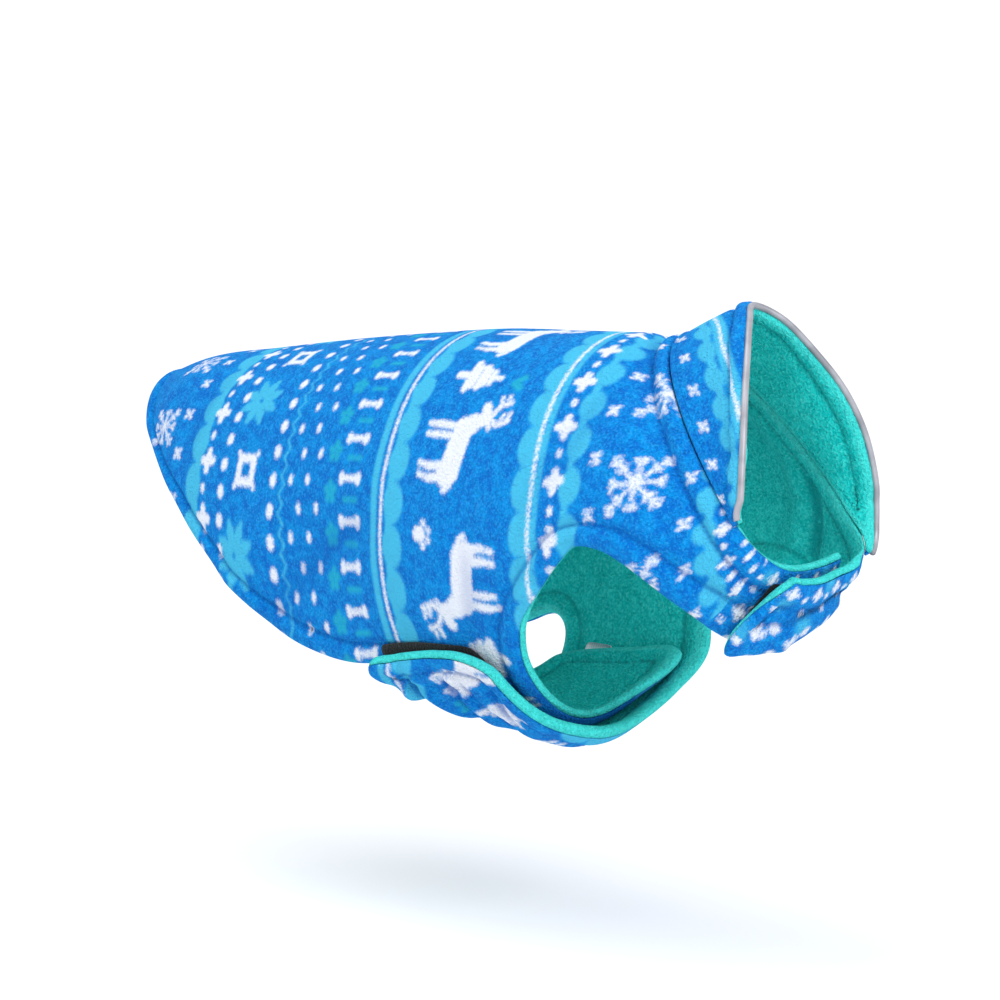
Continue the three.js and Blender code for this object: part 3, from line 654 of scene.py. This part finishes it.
def printed(place, girth):
    """Signed distances to the white, cyan and teal ink, for places along and round the cloth."""
    ink = np.full((len(place), 3), NO_INK)

    def press(near, colour, field):
        ink[near, colour] = np.minimum(ink[near, colour], field)

    for motif, colour, at, first, repeat in BANDS:
        near = np.abs(place - at) < BAND_REACH
        across = folded(girth[near], first, repeat)
        press(near, colour, strokes_field(MOTIFS[motif], across, place[near] - at))
    for at, heading, stripe, reach, repeat, first in SCALLOPS:
        x = (place - at) * heading
        bump = np.hypot(folded(girth, first, repeat) * 0.8, x - stripe) - reach
        near = np.abs(x) < SCALLOP_REACH
        band = np.abs(x - stripe / 2) - stripe / 2
        press(near, CYAN, np.minimum(band, bump if reach else band)[near])
    slope = np.abs(folded(girth, 0, ZIG_REPEAT)) * 4 / ZIG_REPEAT - 1
    zig = np.abs(place - ZIGZAG - ZIG_TALL * slope) - ZIG_HALF
    ink[:, CYAN] = np.minimum(ink[:, CYAN], zig)
    for line in WHITE_LINES:
        ink[:, WHITE] = np.minimum(ink[:, WHITE], np.abs(place - line) - LINE_HALF)
    for motif, colour, foot, first, up in PROCESSION:
        near = np.abs(place - foot) < PROCESSION_REACH
        across = folded(girth[near], first, PROCESSION_REPEAT)
        press(near, colour, strokes_field(MOTIFS[motif], across * up, (place[near] - foot) * up))
    return ink


def throat_print(along, girth):
    """Small crosses and dots along the straps, over cloudy patches of cyan."""
    down = (NECK_ALONG - along) * THROAT_DRAWN_OUT
    around = girth * THROAT_DRAWN_IN
    ink = np.full((len(along), 3), NO_INK)
    ink[:, CYAN] = 1.6 - 2.0 * np.sin(around / 4.6 + down / 15) * np.sin(down / 5.2 - around / 13)
    for motif, at, first in THROAT_MOTIFS:
        marks = strokes_field(MOTIFS[motif], folded(around, first, THROAT_REPEAT), down - at)
        ink[:, WHITE] = np.minimum(ink[:, WHITE], marks)
    return ink


def body_print(flat, points):
    """The bands run straight down the dressed body and lean tailward toward the tail; round the throat
    they follow the straps instead."""
    girth = flat[:, 1]
    down = np.interp(np.abs(girth), LEAN_GIRTHS, LEANS)
    lean = np.interp(points[:, 0], LEAN_PLACES, LEAN_REACHES)
    ink = printed(points[:, 0] + lean * down, girth)
    throat = (np.abs(girth) > THROAT_TURN * MM_PER_DEG) & (flat[:, 0] > THROAT_ALONG)
    ink[throat] = throat_print(flat[throat, 0], flat[throat, 1])
    return ink


def collar_print(flat, _points):
    """One scalloped stripe that leans across the collar, and a few specks."""
    girth = flat[:, 1]
    below = np.interp(girth / MM_PER_DEG, COLLAR_TURNS, COLLAR_HEIGHTS) - flat[:, 0]
    band = below - COLLAR_FALL * (COLLAR_LEVEL - np.abs(girth))
    ink = np.full((len(band), 3), NO_INK)
    bump = np.hypot(folded(girth, -8, 15.5) * 0.8, band - 8.5) - 5.0
    ink[:, CYAN] = np.minimum(np.minimum(np.abs(band) - 3.6, np.abs(band - 7.5) - 2.0), bump)
    marks = strokes_field(MOTIFS["speck"], folded(girth, -20, 19), band - 21)
    ink[:, WHITE] = np.minimum(np.abs(band) - 0.6, marks)
    return ink


# ---- materials -----------------------------------------------------------------------
def colour(hexadecimal):
    """An sRGB hex value as the linear colour Blender wants."""
    parts = [int(hexadecimal[i:i + 2], 16) / 255 for i in (1, 3, 5)]
    return tuple(c / 12.92 if c <= 0.04045 else ((c + 0.055) / 1.055) ** 2.4 for c in parts) + (1.0,)


def node(tree, kind, inputs=None, **settings):
    """Adds a node with its settings; inputs are values, or sockets to link from."""
    made = tree.nodes.new(kind)
    for setting, value in settings.items():
        setattr(made, setting, value)
    for socket, value in (inputs or {}).items():
        if isinstance(value, bpy.types.NodeSocket):
            tree.links.new(value, made.inputs[socket])
        else:
            made.inputs[socket].default_value = value
    return made


def new_material(name):
    material = bpy.data.materials.new(name)
    material.use_nodes = True
    tree = material.node_tree
    tree.nodes.clear()
    return material, tree


def maths(tree, operation, *values):
    """A sum's result; each value is a number or a socket."""
    made = node(tree, "ShaderNodeMath", dict(enumerate(values)), operation=operation)
    return made.outputs["Value"]


def remap(tree, value, start, stop, low=0.0, high=1.0, kind="LINEAR"):
    """Takes start..stop to low..high."""
    made = node(tree, "ShaderNodeMapRange", {
        "Value": value, "From Min": start, "From Max": stop, "To Min": low, "To Max": high},
        interpolation_type=kind)
    return made.outputs["Result"]


def mixed(tree, share, base, over):
    """Lays one colour over another by a share; each is a hex value or a socket."""
    tones = [colour(tone) if isinstance(tone, str) else tone for tone in (base, over)]
    made = node(tree, "ShaderNodeMix", {"Factor": share, "A": tones[0], "B": tones[1]},
                data_type="RGBA")
    return made.outputs["Result"]


def noise(tree, place, size, detail=2.0, roughness=0.5):
    """A fine grain whose tufts have about this size."""
    made = node(tree, "ShaderNodeTexNoise", {
        "Vector": place, "Scale": 1 / size, "Detail": detail, "Roughness": roughness})
    return made.outputs["Fac"]


def surface(tree, relief, strength, distance, settings):
    """Ends a material: a bump from `relief` on a principled surface."""
    bump = node(tree, "ShaderNodeBump", {"Height": relief, "Strength": strength, "Distance": distance})
    made = node(tree, "ShaderNodeBsdfPrincipled", {**settings, "Normal": bump.outputs["Normal"]})
    node(tree, "ShaderNodeOutputMaterial", {"Surface": made.outputs["BSDF"]})


# Grain sizes.
NAP = 1.15 * MM             # tufts of the raised nap; real fibres are too fine to show
FIBRE = 0.55 * MM
PILL = 4.5 * MM             # where the nap lies one way
LOOPS = 1.1 * MM            # standing loops of the tape, and the fuzz on them
FUZZ = 0.6 * MM
BEADS = 0.5 * MM            # glass beads of the reflective cloth, and its smudges
SMUDGE = 9 * MM
WEFT = 4 * MM               # the label's weave
INK_STRAY = 2.6             # how far the nap carries the edge of the print
INK_SOFT = (1.2, -1.0)      # distances over which the print fades in
GROOVE = 1.3                # half width of the painted shade in the topstitching's groove


def fleece(name, dark, pale, tips, shade_tone, inks):
    """Polyester polar fleece, knitted and brushed: matt, with a grainy nap whose pale tips and dark
    hollows are partly its grain and partly painted highlight and painted shade. Painted shade also
    darkens the topstitched grooves and the inward folds of the creases, and a painted highlight
    lightens the lining's turned edges. The cloth glows a little at grazing angles and blurs the edges
    of the print."""
    material, tree = new_material(name)
    place = node(tree, "ShaderNodeTexCoord").outputs["Object"]
    nap = noise(tree, place, NAP, roughness=0.55)
    fibre = noise(tree, place, FIBRE)
    base = mixed(tree, remap(tree, noise(tree, place, PILL), 0.35, 0.65), dark, pale)
    # Nap grain, partly own tone: painted highlight on the tufts and painted shade in their hollows.
    base = mixed(tree, remap(tree, nap, 0.52, 0.68, high=0.45), base, tips)
    base = mixed(tree, remap(tree, nap, 0.49, 0.36, high=0.42), base, shade_tone)
    if inks:
        field = node(tree, "ShaderNodeAttribute", attribute_name="ink")
        ink = node(tree, "ShaderNodeSeparateXYZ", {"Vector": field.outputs["Vector"]})
        stray = maths(tree, "MULTIPLY", maths(tree, "SUBTRACT", nap, 0.5), INK_STRAY)
        for axis, tone, strength in inks:
            shifted = maths(tree, "ADD", ink.outputs[axis], stray)
            covered = remap(tree, shifted, *INK_SOFT, high=strength, kind="SMOOTHSTEP")
            base = mixed(tree, covered, base, tone)
    sewn = node(tree, "ShaderNodeAttribute", attribute_name="sewn")
    edge = node(tree, "ShaderNodeSeparateXYZ", {"Vector": sewn.outputs["Vector"]})
    # Painted shade in the topstitched groove: a dark line STITCH_IN from the edge.
    away = maths(tree, "ABSOLUTE", maths(tree, "SUBTRACT", edge.outputs["X"], STITCH_IN))
    groove = remap(tree, away, 0.0, GROOVE, 1.0, 0.0, kind="SMOOTHSTEP")
    # Painted shade in the folds: darker where a crease goes inward.
    fold_shade = node(tree, "ShaderNodeAttribute", attribute_name="fold_shade").outputs["Fac"]
    fold_shade_mask = remap(tree, fold_shade, -0.6, -2.6, high=0.7, kind="SMOOTHSTEP")
    # The painted shade of the groove and of the folds darkens the cloth toward its shade tone.
    base = mixed(tree, maths(tree, "MULTIPLY_ADD", groove, 0.5, fold_shade_mask), base, shade_tone)
    if not inks:
        # The nap stands up along a turned edge; a painted highlight makes the lining paler there.
        turned = remap(tree, edge.outputs["X"], 3.8, 1.8, high=0.3, kind="SMOOTHSTEP")
        base = mixed(tree, turned, base, tips)
    beat = maths(tree, "MULTIPLY", edge.outputs["Y"], 2 * math.pi / STITCH_PITCH)
    pulled = maths(tree, "MULTIPLY", maths(tree, "SINE", beat), groove)
    relief = maths(tree, "MULTIPLY_ADD", fibre, 0.35, nap)
    relief = maths(tree, "MULTIPLY_ADD", pulled, 0.18, relief)
    surface(tree, relief, 1.0, 2.2 * MM, {
        "Base Color": base, "Roughness": 0.95, "Specular IOR Level": 0.1, "Sheen Weight": 0.07,
        "Sheen Roughness": 0.4, "Sheen Tint": colour("#8fe0f4")})
    return material


def hook_and_loop(name):
    """Black nylon hook-and-loop tape, woven with standing loops: matt and speckled by their tops."""
    material, tree = new_material(name)
    place = node(tree, "ShaderNodeTexCoord").outputs["Object"]
    loops = node(tree, "ShaderNodeTexVoronoi", {"Vector": place, "Scale": 1 / LOOPS})
    fuzz = noise(tree, place, FUZZ, detail=3.0)
    base = mixed(tree, remap(tree, fuzz, 0.4, 0.75), "#060b0c", "#1c2527")
    relief = maths(tree, "MULTIPLY_ADD", loops.outputs["Distance"], -0.8, fuzz)
    surface(tree, relief, 0.8, 0.8 * MM, {
        "Base Color": base, "Roughness": 0.88, "Specular IOR Level": 0.25, "Sheen Weight": 0.1})
    return material


def reflective_fabric(name):
    """Glass-bead reflective cloth folded over a cord: silver grey, satin, with a faint bead grain."""
    material, tree = new_material(name)
    place = node(tree, "ShaderNodeTexCoord").outputs["Object"]
    beads = noise(tree, place, BEADS)
    base = mixed(tree, remap(tree, noise(tree, place, SMUDGE), 0.35, 0.65), "#85868d", "#a3a3aa")
    surface(tree, beads, 0.25, 0.2 * MM, {"Base Color": base, "Roughness": 0.42, "Metallic": 0.35})
    return material


def label_satin(name):
    """Woven polyester satin label, left blank: pale grey with a fine weft across it."""
    material, tree = new_material(name)
    place = node(tree, "ShaderNodeTexCoord").outputs["Object"]
    wave = node(tree, "ShaderNodeTexWave", {"Vector": place, "Scale": 1 / WEFT, "Distortion": 1.5})
    weft = wave.outputs["Fac"]
    base = mixed(tree, weft, "#dde0e6", "#f2f3f6")
    surface(tree, weft, 0.3, 0.15 * MM, {"Base Color": base, "Roughness": 0.55})
    return material


# Each fleece: dark and pale cloth tones, a pale tone for nap tips and painted highlight, a painted
# shade tone.
print_fleece = fleece(
    "printed_polar_fleece", "#0070cc", "#0090e0", "#2fadf4", "#005cb8",
    [("Z", "#22b4d0", 0.8), ("Y", "#4cc6ea", 0.84), ("X", "#f0f4fc", 0.95)])
lining_fleece = fleece("turquoise_polar_fleece", "#0ccac6", "#26dcd6", "#66f0e8", "#009a9e", [])
tape_black = hook_and_loop("black_nylon_hook_and_loop")
piping_silver = reflective_fabric("silver_reflective_fabric")
label_white = label_satin("blank_satin_label")


# ---- body and collar -----------------------------------------------------------------
def body_layer(name, side, step, rim_step, print_at, material):
    """One layer of the body's single cut of cloth, with its belly and neck extensions."""
    loop = smooth_loop(BODY_OUTLINE, rim_step)
    loop[loop[:, 0] > NECK_ALONG - NEAR_NECK, 0] = NECK_ALONG
    along, turn = loop[:, 0], loop[:, 1] / MM_PER_DEG
    wide = np.abs(turn)
    seam = collar_span(turn) * smooth(NECK_ALONG - 3, NECK_ALONG - 1, along)
    # The lining rolls outward over the front edges of belly and throat, and over the belly's tips.
    belly = np.maximum(smooth(104, 116, wide) * smooth(221, 227, along), smooth(229, 234, wide))
    belly = belly * (1 - smooth(277, 284, along)) * np.where(turn > 0, 1, 0.65)
    throat = smooth(316, 325, along) * (1 - seam) * np.where(turn > 0, 1, smooth(120, 165, wide))
    roll = EDGE_R - 0.8 * throat
    roll = roll + (SEAM_R - roll) * seam
    seam_angle = -12 + 14 * smooth(260, 285, along) + 78 * np.maximum(belly, 0.55 * throat)
    return layer(name, loop, roll, seam_angle, side, on_body, CREASES, step, print_at, material)


def collar_layer(name, side, step, rim_step, print_at, material):
    """One layer of the collar, a crescent whose lower edge stands on the neck seam."""
    turns = np.linspace(COLLAR_ENDS[0] + 1, COLLAR_ENDS[1] - 1, 200)
    tall = np.interp(turns, COLLAR_TURNS, COLLAR_HEIGHTS) - COLLAR_TRIM
    foot = np.full(len(turns), COLLAR_FOOT)
    outline = np.vstack([np.stack([foot, turns], -1), np.stack([tall, turns], -1)[::-1]])
    loop = resample(outline * (1, MM_PER_DEG), rim_step)
    seam = 1 - smooth(0.5, 2.5, loop[:, 0])
    from_end = np.minimum(loop[:, 1] - loop[:, 1].min(), loop[:, 1].max() - loop[:, 1])
    room = 0.3 * np.interp(loop[:, 1] / MM_PER_DEG, turns, tall)
    roll = np.minimum(COLLAR_R + (SEAM_R - COLLAR_R) * seam, room)
    roll = COLLAR_END_R + (roll - COLLAR_END_R) * smooth(0, 9, from_end)
    level = np.zeros(len(loop))
    return layer(name, loop, roll, level, side, on_collar, COLLAR_CREASES, step, print_at, material)


body_outer = body_layer("vest_body_print", 1, 1.4, 1.4, body_print, print_fleece)
body_lining = body_layer("vest_body_lining", -1, 2.4, 1.6, None, lining_fleece)
collar_outer = collar_layer("vest_collar_print", 1, 1.4, 1.4, collar_print, print_fleece)
collar_lining = collar_layer("vest_collar_lining", -1, 2.0, 1.6, None, lining_fleece)
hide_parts("body_outer")
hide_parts("body_lining")
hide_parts("collar_outer")
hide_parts("collar_lining")


# ---- piping, tapes and label ---------------------------------------------------------
def collar_piping():
    """The cord in its folded reflective cloth, along the collar's top edge."""
    turn = np.linspace(COLLAR_ENDS[0] + PIPING_SHORT, COLLAR_ENDS[1] - PIPING_SHORT, PIPING_STEPS)
    top = collar_middle(np.ones(PIPING_STEPS), turn)
    up = unit(top - collar_middle(np.full(PIPING_STEPS, 0.8), turn))
    centre = top + up * PIPING_SET
    across = unit(np.cross(np.gradient(centre, axis=0), up))
    around = [2 * math.pi * k / PIPING_SIDES for k in range(PIPING_SIDES)]
    points = np.stack([centre + (across * math.cos(a) + up * math.sin(a)) * PIPING_R
                       for a in around], 1).reshape(-1, 3)
    faces = []
    for i in range(PIPING_STEPS - 1):
        for k in range(PIPING_SIDES):
            a, b = i * PIPING_SIDES + k, i * PIPING_SIDES + (k + 1) % PIPING_SIDES
            faces.append((a, b, b + PIPING_SIDES, a + PIPING_SIDES))
    faces.append(tuple(range(PIPING_SIDES))[::-1])
    faces.append(tuple(range(len(points) - PIPING_SIDES, len(points))))
    piece = mesh_piece("collar_piping_cord", points, faces, piping_silver)
    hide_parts("collar_piping")


def tape(name, outline, low, high, rounding, material, node_name):
    """A flat tape on the body with softened edges, between two heights from the cloth's middle."""
    loop = eased(resample(np.array(outline, float) * (1, MM_PER_DEG), TAPE_RIM_STEP), rounding)
    flat, tris = filled(loop, TAPE_STEP)
    n, total = len(loop), len(flat)
    rim = loop - inward(loop) * TAPE_BULGE
    middle = (low + high) / 2
    points = np.vstack([on_body(flat, np.full(total, high)), on_body(rim, np.full(n, middle)),
                        on_body(flat, np.full(total, low))])
    top, edge, under = np.arange(n), np.arange(n) + total, np.arange(n) + total + n
    faces = tris.tolist() + (tris[:, ::-1] + total + n).tolist()
    for a, b in ((top, edge), (edge, under)):
        faces += np.stack([a, np.roll(a, -1), np.roll(b, -1), b], -1).tolist()
    piece = mesh_piece(name, points, faces, material)
    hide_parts(node_name)


collar_piping()
ON_CLOTH = FACE + TAPE_CLEAR
APART = ON_CLOTH + TAPES_APART
for name, node_name, outline, low, high, rounding, material, slot in (
        ("belly_loop_strip", "belly_loop_tape", BELLY_LOOP, ON_CLOTH, ON_CLOTH + TAPE, 4,
         tape_black, "black_tape"),
        ("belly_hook_strip", "belly_hook_tape", BELLY_HOOK, -ON_CLOTH - TAPE, -ON_CLOTH, 3,
         tape_black, "black_tape"),
        ("neck_loop_strip", "neck_loop_tape", NECK_LOOP, ON_CLOTH, ON_CLOTH + TAPE, 3,
         tape_black, "black_tape"),
        ("neck_hook_strip", "neck_hook_tape", NECK_HOOK, -APART - TAPE, -APART, 3,
         tape_black, "black_tape"),
        ("size_label_loop", "size_label", SIZE_LABEL, -ON_CLOTH - LABEL, -ON_CLOTH, 1,
         label_white, "label_cloth")):
    tape(name, outline, low, high, rounding, material, node_name)


# ---- stage, light and camera ---------------------------------------------------------
def studio():
    """A pale floor that curves up into a backdrop, one large soft light above and a fill."""
    floor_z, front, bend_at, bend, top, far = -0.26, -2.6, 0.6, 1.6, 4.5, 3.0
    bow = [(front, floor_z), (bend_at, floor_z)]
    for a in np.radians(range(6, 91, 6)):
        bow.append((bend_at + bend * math.sin(a), floor_z + bend * (1 - math.cos(a))))
    bow.append((bend_at + bend, top))
    back = Matrix.Rotation(math.radians(135), 4, "Z")
    points = [back @ Vector((x, y, z)) for x, z in bow for y in (-far, far)]
    faces = [(i, i + 1, i + 3, i + 2) for i in range(0, len(points) - 2, 2)]
    mesh = bpy.data.meshes.new("studio_sweep")
    mesh.from_pydata([tuple(p) for p in points], [], faces)
    material, tree = new_material("matt_white_paper")
    paper = node(tree, "ShaderNodeBsdfPrincipled", {
        "Base Color": colour("#f4f5f7"), "Roughness": 0.9})
    node(tree, "ShaderNodeOutputMaterial", {"Surface": paper.outputs["BSDF"]})
    mesh.materials.append(material)
    floor = bpy.data.objects.new("studio_sweep", mesh)
    bpy.context.scene.collection.objects.link(floor)
    world = bpy.data.worlds.new("studio_air")
    world.use_nodes = True
    world.node_tree.nodes["Background"].inputs["Color"].default_value = colour("#fbfcff")
    world.node_tree.nodes["Background"].inputs["Strength"].default_value = 0.95
    bpy.context.scene.world = world
    for name, place, size, power in (("top_softbox", (-0.25, -0.7, 1.5), 1.3, 13),
                                     ("front_softbox", (1.7, -0.6, 0.95), 1.0, 20)):
        lamp = bpy.data.lights.new(name, "AREA")
        lamp.shape, lamp.size, lamp.energy = "SQUARE", size, power
        lamp_object = bpy.data.objects.new(name, lamp)
        lamp_object.location = place
        aim = Vector((-0.05, 0, -0.08)) - Vector(place)
        lamp_object.rotation_euler = aim.to_track_quat("-Z", "Y").to_euler()
        bpy.context.scene.collection.objects.link(lamp_object)


def camera():
    """A long lens three-quarters from the head on the dog's right side, a little above level."""
    azimuth, elevation, distance = math.radians(-45), math.radians(5), 1.3
    aside, below = 0.042, 0.071     # of the origin, so that the sweater sits in the frame as shown
    back = Vector((math.cos(elevation) * math.cos(azimuth), math.cos(elevation) * math.sin(azimuth),
                   math.sin(elevation)))
    right = Vector((-math.sin(azimuth), math.cos(azimuth), 0))
    up = back.cross(right)
    target = Vector((0, 0, ORIGIN_LIFT * MM)) - right * aside - up * below
    lens = bpy.data.cameras.new("studio_camera")
    lens.lens, lens.sensor_width = 111.4, 36
    shot = bpy.data.objects.new("studio_camera", lens)
    shot.location = target + back * distance
    shot.rotation_euler = (-back).to_track_quat("-Z", "Y").to_euler()
    bpy.context.scene.collection.objects.link(shot)
    bpy.context.scene.camera = shot


studio()
camera()
bpy.context.scene.view_settings.view_transform = "Standard"
